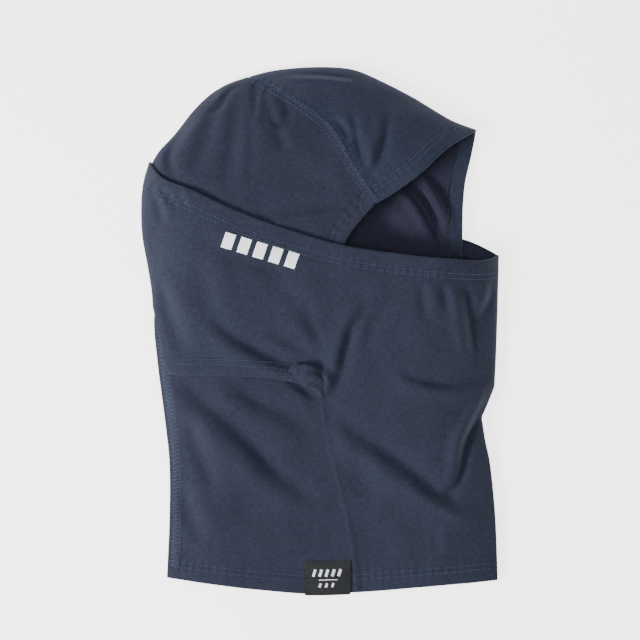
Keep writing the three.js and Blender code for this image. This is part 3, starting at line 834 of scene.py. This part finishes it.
# Rows along one edge, columns between two distances in from it. Rows × columns point outwards.
def edgeStrip(sides, edge, ts, start, end, height, isFar=False, count=8):
    t, d = np.meshgrid(ts, np.linspace(start, end, count + 1), indexing="ij")
    first, second = (0, 1) if edge in ("bottom", "top") else (2, 3)
    size = np.linalg.norm(along(sides[first], t) - along(sides[second], t), axis=-1)
    share = d / size if edge in ("bottom", "left") else 1 - d / size
    xy = patch(sides, t, share) if edge in ("bottom", "top") else patch(sides, share, t)
    grid = lifted(xy, height)
    outwards = (edge in ("bottom", "right")) != isFar
    return grid if outwards else grid[:, ::-1]


ts = np.linspace(0, 1, 60)
turnUp = (hemLayer["start"], hem["height"])
browFarStrip = edgeStrip(crownSides(crownSeamFar, browFar), "right", ts, *turnUp, hoodFar, True)
browNearStrip = edgeStrip(crownSides(crownSeamNear, browNear), "right", ts, *turnUp, hoodNear)
browHem = layerPiece("browHem", np.concatenate([browFarStrip, browNearStrip[::-1][1:, ::-1]]), crownJersey)
faceStart = runOf(sideSeam) / (runOf(sideSeam) + runOf(faceNear))
upFace = np.linspace(faceStart + 0.03, 0.99, 90)
rightFaceHem = layerPiece(
    "rightFaceHem",
    edgeStrip(sideSides(faceNear, crownSeamNear), "right", upFace, *turnUp, hoodNear), hoodJersey)
# The far face hem is the outer face of the cloth turned in. It gets the darker inside jersey as painted shade.
leftFaceHem = layerPiece(
    "leftFaceHem",
    edgeStrip(sideSides(faceFar, crownSeamFar), "right", upFace, *turnUp, hoodFar, True), shadedInsideJersey)


def neckHemGrid():
    side = sideSides(faceNear, crownSeamNear)
    us = foldSpaced(90)[1:]
    nearBack, nearFront, farBack, farFront = (
        edgeStrip(sides, "bottom", at, *turnUp, height) for sides, at, height in (
            (side, us, hoodNear), (neckSides, us, frontNear),
            (side, us, hoodFar), (neckSides, us[:-1], frontFar)))
    return np.concatenate([nearBack, nearFront, farFront[::-1], farBack[::-1], nearBack[:1]])


allowance = {"half": 3.0, "farHalf": 2.2, "under": 1.04, "thickness": 0.7, "farThickness": 0.45, "step": 1.2}
raised = 0.3  # stitches stand above the dip that they lie in


# A seam's turned-in cloth, along its inside.
def ribbon(name, line, height, half=allowance["half"], thickness=allowance["thickness"]):
    line = resample(line, allowance["step"])
    up = -1 if height is hoodFar else 1
    step = unit(np.gradient(line, axis=0))
    left = np.stack([-step[:, 1], step[:, 0]], 1)
    offsets = np.linspace(-half, half, 7)[::-up]
    xy = line[:, None] + left[:, None] * offsets[None, :, None]
    points, quads = welded(lifted(xy, height)[::-1])
    if normalsOf(points, quads)[:, 2].mean() * up < 0:
        quads = quads[:, ::-1]
    return piece(name, *solid(points, quads, -allowance["under"], thickness), shadedInsideJersey)


crownAllowanceNear = ribbon("rightCrownSeamAllowance", crownSeamNear[16:-6], hoodNear)
crownAllowanceFar = ribbon(
    "leftCrownSeamAllowance", crownSeamFar[24:-10], hoodFar, allowance["farHalf"], allowance["farThickness"])
sideAllowanceNear = ribbon("rightSideSeamAllowance", sideSeam[24:], hoodNear)
sideAllowanceFar = ribbon("leftSideSeamAllowance", sideSeam[24:-10], hoodFar)
neckHem = layerPiece("neckHem", neckHemGrid(), frontJersey)
topStrip, _ = maskRing(np.linspace(hemLayer["start"], hem["maskHeight"], 9))
maskTopHem = layerPiece("maskTopHem", topStrip, frontJersey)
rearUp = (hemLayer["start"], hem["rearHeight"])
rearNearStrip = edgeStrip(maskSidesNear, "bottom", np.linspace(0, hingeNear - 0.01, 90), *rearUp, frontNear)
rearFarStrip = edgeStrip(maskSidesFar, "bottom", np.linspace(0, hingeFar - 0.01, 60), *rearUp, frontFar, True)
maskRearHem = layerPiece(
    "maskRearHem", np.concatenate([rearFarStrip[::-1][:, ::-1], rearNearStrip[1:]]), frontJersey)

# thread
print("thread")
stitch = {"length": 1.8, "pitch": 2.4, "width": 0.75, "thick": 0.55, "lift": 0.25}
innerLadder = {"pitch": 2.6, "width": 0.45, "thick": 0.4, "lift": 0.15}
ladder = {"pitch": 1.6, "width": 0.65, "thick": 0.55, "lift": 0.3, "half": 2.9}
# Seams whose thread is on the inside: (half width, distance of the thread in from the cloth's outside).
innerCrown, innerSide, innerMaskBack, innerBrow = (1.8, 1.45), (1.9, 1.9), (2.4, 1.3), 2.0


def surfaceNormals(height, xy):
    e = 0.4
    dx = (height(xy + [e, 0]) - height(xy - [e, 0])) / (2 * e)
    dy = (height(xy + [0, e]) - height(xy - [0, e])) / (2 * e)
    return unit(np.stack([-dx, -dy, np.ones_like(dx)], -1))


# Short lengths of thread lying on a surface, each from a start to an end, its ends pulled down into it.
def bars(starts, ends, height, width, thick, lift, base=0.0):
    tau = np.linspace(-1, 1, 5)
    middle, half = (starts + ends) / 2, (ends - starts) / 2
    xy = middle[:, None] + half[:, None] * tau[None, :, None]
    normal = surfaceNormals(height, middle)[:, None]
    centre = np.concatenate([xy, height(xy)[..., None]], -1)
    centre = centre + normal * (base + math.copysign(lift, base + 0.1) * (1 - 1.6 * tau**2))[None, :, None]
    across = unit(np.cross(normal[:, 0], centre[:, -1] - centre[:, 0]))[:, None]
    size = np.sqrt(np.maximum(1 - 0.93 * tau**2, 0.03))[None, :, None]
    angles = np.arange(6) * math.tau / 6
    rings = np.stack([
        centre + across * size * math.cos(a) * width / 2 + normal * size * math.sin(a) * thick / 2
        for a in angles], 2)
    count = len(starts)
    first = (np.arange(count) * 30)[:, None, None]
    k, j = np.meshgrid(np.arange(4), np.arange(6), indexing="ij")
    sides = np.stack([k * 6 + j, k * 6 + (j + 1) % 6, (k + 1) * 6 + (j + 1) % 6, (k + 1) * 6 + j], -1)
    caps = np.array([[3, 2, 1, 0], [5, 4, 3, 0], [24, 25, 26, 27], [24, 27, 28, 29]])
    pattern = np.vstack([sides.reshape(-1, 4)[:, ::-1], caps[:, ::-1]])
    return rings.reshape(-1, 3), (first + pattern[None]).reshape(-1, 4)


def offsetLine(line, distance):
    step = unit(np.gradient(line, axis=0))
    return resample(line + np.stack([-step[:, 1], step[:, 0]], 1) * distance)


def foldsOf(height):
    return {"hoodNear": hoodFolds, "hoodFar": hoodFolds, "frontNear": frontFolds}.get(height.__name__, [])


def stitchRow(line, height, base=0.0, look=stitch):
    run = runOf(line)
    at = np.arange(0.5, run - look["length"], look["pitch"])
    at = at + 0.12 * np.sin(at * 3.1)
    starts, ends = clearOf(foldsOf(height), along(line, at / run), along(line, (at + look["length"]) / run))
    return bars(starts, ends, height, look["width"], look["thick"], look["lift"], base)


def rungs(line, height, half, base=0.0, slant=0.25, look=ladder):
    run = runOf(line)
    at = np.arange(look["pitch"], run - look["pitch"] / 2, look["pitch"])
    step = unit(np.gradient(line, axis=0))
    left = np.stack([-step[:, 1], step[:, 0]], 1)
    middle, side, ahead = along(line, at / run), along(left, at / run), along(step, at / run)
    lean = np.where(np.arange(len(at)) % 2 == 0, slant, -slant)[:, None] * look["pitch"]
    return bars(middle - side * half - ahead * lean, middle + side * half + ahead * lean, height,
                look["width"], look["thick"], look["lift"], base)


def clearOf(folds, starts, ends, gap=2.6):  # leaves out stitches that would run off the folded edges
    middle = (starts + ends) / 2
    keep = np.ones(len(middle), bool)
    for line in folds:
        distance, _, side = nearest(line, middle)
        inner = nearest(line, np.array([[0.0, 60.0]]))[2][0]
        keep &= (distance > gap) & ((side == inner) | (distance > 30))
    return starts[keep], ends[keep]


def joined(*solids):
    points, faces, start = [], [], 0
    for p, f in solids:
        points.append(p)
        faces.append(f + start)
        start += len(p)
    return np.vstack(points), np.vstack(faces)


def twoRows(line, height, inward, base=raised):  # coverstitch, at a distance in from an edge
    return [stitchRow(offsetLine(line, inward + row), height, base) for row in hem["rows"]]


def flatSeam(name, line, height, half=None, base=0.0):
    half = half or ladder["half"]
    parts = [rungs(line, height, half, base)]
    parts += [stitchRow(offsetLine(line, side * half), height, base) for side in (-1, 1)]
    return piece(name, *joined(*parts), seamThread)


# The stitching stops short of each line's ends, where the hem turns over or goes under other cloth.
browThread = piece("browHemThread", *joined(*twoRows(browNear[:-6], hoodNear, hem["height"])), seamThread)
neckThread = piece("neckHemThread", *joined(
    *twoRows(neckEdgeBack[6:], hoodNear, hem["height"]),
    *twoRows(neckEdgeFront[:-8], frontNear, hem["height"])), seamThread)
maskTopThread = piece("maskTopHemThread", *joined(
    *twoRows(maskTopNear[8:-8], frontNear, -hem["maskHeight"])), seamThread)
maskRearThread = piece("maskRearHemThread", *joined(
    *twoRows(rearEdgeNear[122:-50], frontNear, hem["rearStitches"])), seamThread)
crownThreadNear = flatSeam("rightCrownSeamThread", crownSeamNear[10:-3], hoodNear)
crownThreadFar = piece("leftCrownSeamThread", *joined(
    rungs(crownSeamFar[16:-12], hoodFar, *innerCrown, look=innerLadder),
    *twoRows(browFar[:-16], hoodFar, hem["height"], innerBrow)), shadedInnerThread)
backLine = offsetLine(backFold, -5.6)  # the centre back, rolled a little to the upper side
backThread = flatSeam("backSeamThread", backLine[14:int(len(backLine) * 0.47)], hoodNear, 3.6)
maskBackThread = flatSeam(
    "maskBackSeamThread", offsetLine(maskBackFold, -5.0)[16:-30], frontNear,
    innerMaskBack[0], -innerMaskBack[1])
sideLine, (sideHalf, sideIn) = offsetLine(sideSeam, 3.2)[26:], innerSide
rightSideThread = piece("rightSideSeamThread", *rungs(sideLine, hoodNear, sideHalf, -sideIn, 1.0), seamThread)
leftSideThread = piece("leftSideSeamThread", *rungs(sideLine, hoodFar, sideHalf, sideIn, 1.0), seamThread)

# labels and print
print("labels and print")
label = {"left": -12.0, "right": 24.0, "height": 25.0, "tuck": 9.0, "thickness": 0.45, "out": 1.5}
careLabel = {"x": (-100, -70), "y": (-170, -146), "thickness": 0.3}
markBars = {
    "left": -76.0, "pitch": 12.4, "width": 8.2, "height": 13.0, "y": 62.5, "slope": -0.30, "slant": 0.32,
}


def labelEdge(x):
    return np.interp(x, neckEdgeBack[:, 0], neckEdgeBack[:, 1])


def labelPath():  # (height above the hem's edge, distance from the cloth's outside), from the tucked end
    out, inside = label["out"], -3.0
    turn = [(-1.4 - 1.0 * math.sin(a), (out + inside) / 2 - math.cos(a) * (out - inside) / 2)
            for a in np.linspace(0, math.pi, 9)]
    outside = [(up, out - 0.5 * math.exp(-(((up - label["height"] + 2) / 1.2) ** 2)) - 0.35 * smooth(
        label["height"] - 1.5, label["height"], up)) for up in np.linspace(0, label["height"], 26)]
    return [(label["tuck"], inside), (4.0, inside), *turn, *outside]


def labelGrid():
    left, right = label["left"], label["right"]
    xs = np.concatenate([[left], np.linspace(left + 0.4, right - 0.4, 26), [right]])
    grid = np.zeros((len(xs), len(labelPath()), 3))
    for j, (up, out) in enumerate(labelPath()):
        y = labelEdge(xs) + up
        xy = np.stack([xs, np.maximum(y, labelEdge(xs) + 1)], 1)
        droop = 0.25 * ((xs - 6) / 18) ** 4
        smoothed = sum(hoodNear(xy + [dx, 0]) for dx in (-3, 0, 3)) / 3
        grid[:, j] = np.stack([xs, y, smoothed + out - droop * (out > 0)], 1)
    return grid


labelSolid = solid(*welded(labelGrid()), 0, label["thickness"])
wovenLabel = piece("wovenLabel", *labelSolid, labelWeave)
labelGridPoints = labelGrid()[:, -26:]


def onLabel(xy):  # height of the label's face
    xs = labelGridPoints[:, 0, 0]
    ups = np.linspace(0, label["height"], 26)
    x = np.interp(xy[..., 0], xs, np.arange(len(xs)))
    y = np.interp(xy[..., 1] - labelEdge(xy[..., 0]), ups, np.arange(26))
    i, j = np.minimum(x.astype(int), len(xs) - 2), np.minimum(y.astype(int), 24)
    fx, fy = x - i, y - j
    z = labelGridPoints[..., 2]
    return (z[i, j] * (1 - fx) * (1 - fy) + z[i + 1, j] * fx * (1 - fy)
            + z[i, j + 1] * (1 - fx) * fy + z[i + 1, j + 1] * fx * fy)


def labelLine(x0, y0, x1, y1):  # in millimetres from the label's bottom left corner
    x = np.array([label["left"] + x0, label["left"] + x1])
    y = labelEdge(x) + [y0, y1]
    return resample(np.stack([x, y], 1))


labelThread = piece("labelThread", *joined(*[
    stitchRow(labelLine(0.8, label["height"] - 2, 35.2, label["height"] - 2), onLabel)]), labelWeave)
tallBars = [(6.5 + 5 * k, 12.5, 8.5 + 5 * k, 18.5, 1.3) for k in range(5)]
shortBars = [(11.5 + 5 * k, 4, 12.7 + 5 * k, 7.5, 1.1) for k in range(3)]
motifLines = [(labelLine(*line[:4]), line[4]) for line in tallBars + shortBars + [(11, 10, 26, 10, 0.4)]]
satinStitch = {"pitch": 0.42, "width": 0.45, "thick": 0.2, "lift": 0.06, "length": 0.5}
labelMotif = piece("labelMotif", *joined(*[
    rungs(line, onLabel, half, 0.0, 0.0, satinStitch) for line, half in motifLines]), labelLight)

careX, careY = np.meshgrid(np.linspace(*careLabel["x"], 16), np.linspace(*careLabel["y"], 14), indexing="ij")
careXY = np.stack([careX, careY], -1)
careGrid = np.concatenate([careXY, (hoodFar(careXY) + 2.5 + 0.3 * np.sin(careX / 6))[..., None]], -1)
careTape = piece("careLabel", *solid(*welded(careGrid), 0, careLabel["thickness"]), satinTape)


def printBar(k):
    look = markBars
    s, t = np.meshgrid(np.linspace(0, 1, 12), np.linspace(-0.5, 0.5, 16), indexing="ij")
    x = look["left"] + look["pitch"] * k + look["width"] * s + look["slant"] * look["height"] * t
    y = look["y"] + look["height"] * t + look["slope"] * (x - look["left"] - 30)
    return solid(*welded(lifted(np.stack([x, y], -1), frontNear)), 0.16, 0.14)


maskPrint = piece("maskPrint", *joined(*[printBar(k) for k in range(5)]), printFilm)

# hinge tucks
print("hinge tucks")
tuckLook = {"turns": 0.55, "groove": 0.2, "lobes": 4}


def twisted(name, line, halfWidths, halfHeights, centreHeight):
    rows, around = 60, 40
    t = np.linspace(0, 1, rows)
    middle = along(spline(*line), t)
    step = unit(np.gradient(middle, axis=0))
    side = np.stack([-step[:, 1], step[:, 0]], 1)
    wide, high = np.interp(t, *halfWidths), np.interp(t, *halfHeights)
    ends = np.sqrt(np.clip(1 - np.abs(2 * t - 1) ** 6, 0.02, 1))
    angles = np.linspace(0, math.tau, around, endpoint=False)
    twist = t[:, None] * math.tau * tuckLook["turns"]
    radius = 1 + tuckLook["groove"] * np.cos(tuckLook["lobes"] * (angles + twist)) ** 3
    across = np.cos(angles) * radius * (wide * ends)[:, None]
    up = np.sin(angles) * radius * (high * ends)[:, None]
    xy = middle[:, None] + side[:, None] * across[..., None]
    z = centreHeight(middle)[:, None] + up
    points = np.concatenate([xy, z[..., None]], -1).reshape(-1, 3)
    quads = []
    for i in range(rows - 1):
        for j in range(around):
            k = (j + 1) % around
            quads.append([i * around + j, i * around + k, (i + 1) * around + k, (i + 1) * around + j])
    half = around // 2
    for i, order in ((0, 1), (rows - 1, -1)):
        for j in range(half - 1):
            cap = [i * around + k for k in (j, around - 1 - j, around - 2 - j, j + 1)]
            quads.append(cap[::order])
    return piece(name, points, np.array(quads), frontJersey, sharp=80)


rightTuck = twisted(
    "rightHingeTuck", [(-25, -31.5), (-15, -32.5), (-6, -37.5), (0, -46), (1.5, -54)],
    ([0, 0.25, 0.6, 0.85, 1], [4.0, 6.6, 7.4, 4.4, 2.0]), ([0, 0.3, 0.65, 0.9, 1], [1.2, 2.8, 3.2, 1.8, 0.8]),
    lambda xy: frontNear(xy) + 0.6)
leftTuck = twisted(
    "leftHingeTuck", [(-20, -46), (-10, -51), (-2, -56), (3, -60)],
    ([0, 0.4, 0.8, 1], [4.0, 6.0, 3.0, 1.4]), ([0, 0.5, 1], [0.7, 0.9, 0.5]),
    lambda xy: np.full(len(xy), 1.1))

# what rides on what
hoodPieces = [
    (crown, "jersey_crown", ["crown_panel"]),
    (rightSide, "jersey_hood", ["right_side_panel"]),
    (leftSide, "jersey_hood", ["left_side_panel"]),
    (browHem, "jersey_crown", ["brow_hem"]),
    (rightFaceHem, "jersey_hood", ["right_face_hem"]),
    (leftFaceHem, "jersey_hood", ["left_face_hem"]),
    (neckHem, "jersey_neck", ["neck_hem"]),
    (browThread, "thread", ["brow_hem_thread"]),
    (neckThread, "thread", ["neck_hem_thread"]),
    (crownThreadNear, "thread", ["right_crown_seam_thread"]),
    (crownThreadFar, "thread", ["left_crown_seam_thread"]),
    (backThread, "thread", ["back_seam_thread"]),
    (rightSideThread, "thread", ["right_side_seam_thread"]),
    (leftSideThread, "thread", ["left_side_seam_thread"]),
    (wovenLabel, "woven_label", ["woven_label"]),
    (labelThread, "woven_label", ["label_thread"]),
    (labelMotif, "woven_label", []),
    (crownAllowanceNear, "jersey_hood", []),
    (crownAllowanceFar, "jersey_hood", []),
    (sideAllowanceNear, "jersey_hood", []),
    (sideAllowanceFar, "jersey_hood", []),
    (careTape, "satin_tape", ["care_label"]),
]
maskPieces = [
    (maskTopHem, "jersey_mask", ["mask_top_hem"]),
    (maskRearHem, "jersey_mask", ["mask_rear_hem"]),
    (maskTopThread, "thread", ["mask_top_hem_thread"]),
    (maskRearThread, "thread", ["mask_rear_hem_thread"]),
    (maskBackThread, "thread", ["mask_back_seam_thread"]),
    (maskPrint, "print_film", ["mask_print"]),
    (rightTuck, "jersey_mask", ["right_hinge_tuck"]),
    (leftTuck, "jersey_mask", ["left_hinge_tuck"]),
]
for body, pieces in (("hood", hoodPieces), ("mask", maskPieces)):
    for made, slot, nodes in pieces:
        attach(made, body)
        if nodes:
            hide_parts(*nodes)
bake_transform(front)
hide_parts("mask_band", "front_neck_panel")

# floor, light and camera
studio = {
    "floor": srgb(225, 225, 225), "floorGlow": 2.55, "world": 0.40,
    "keyPower": 54.0, "keySize": 0.6, "keyAt": (-1.2, -0.5, 1.05),
    "fillPower": 20.0, "fillSize": 0.9, "fillAt": (0.0, 0.05, 1.6),
    "viewWidth": 0.5056, "viewCentre": (0.0, 0.0083), "cameraHeight": 2.6, "focusHeight": 0.018,
}


def areaLight(name, at, size, power):
    light = bpy.data.lights.new(name, "AREA")
    light.shape = "DISK"
    light.size = size
    light.energy = power
    lamp = bpy.data.objects.new(name, light)
    lamp.location = at
    direction = -np.array(at)
    lamp.rotation_euler = (
        math.atan2(math.hypot(direction[0], direction[1]), -direction[2]), 0,
        math.atan2(direction[1], direction[0]) - math.pi / 2)
    bpy.context.scene.collection.objects.link(lamp)


def makeStage():
    mesh = bpy.data.meshes.new("floor")
    half = 4.0
    corners = [(-half, -half, 0), (half, -half, 0), (half, half, 0), (-half, half, 0)]
    mesh.from_pydata(corners, [], [(0, 1, 2, 3)])
    floor = bpy.data.objects.new("floor", mesh)
    floor.location.z = -0.0004
    bpy.context.scene.collection.objects.link(floor)
    material, tree, shader = newMaterial("floorPaper", 0.9)
    shader.inputs["Base Color"].default_value = studio["floor"]
    shader.inputs["Emission Color"].default_value = (1, 1, 1, 1)  # lit, so it shows no hard shadow
    shader.inputs["Emission Strength"].default_value = studio["floorGlow"]
    mesh.materials.append(material)
    world = bpy.data.worlds.new("studio")
    world.use_nodes = True
    world.node_tree.nodes["Background"].inputs[0].default_value = (1, 1, 1, 1)
    world.node_tree.nodes["Background"].inputs[1].default_value = studio["world"]
    bpy.context.scene.world = world
    areaLight("key", studio["keyAt"], studio["keySize"], studio["keyPower"])
    areaLight("fill", studio["fillAt"], studio["fillSize"], studio["fillPower"])


def makeCamera():
    camera = bpy.data.cameras.new("camera")
    camera.sensor_width = 36
    camera.lens = 36 * (studio["cameraHeight"] - studio["focusHeight"]) / studio["viewWidth"]
    made = bpy.data.objects.new("camera", camera)
    made.location = (*studio["viewCentre"], studio["cameraHeight"])
    bpy.context.scene.collection.objects.link(made)
    bpy.context.scene.camera = made


makeStage()
makeCamera()
print("done")
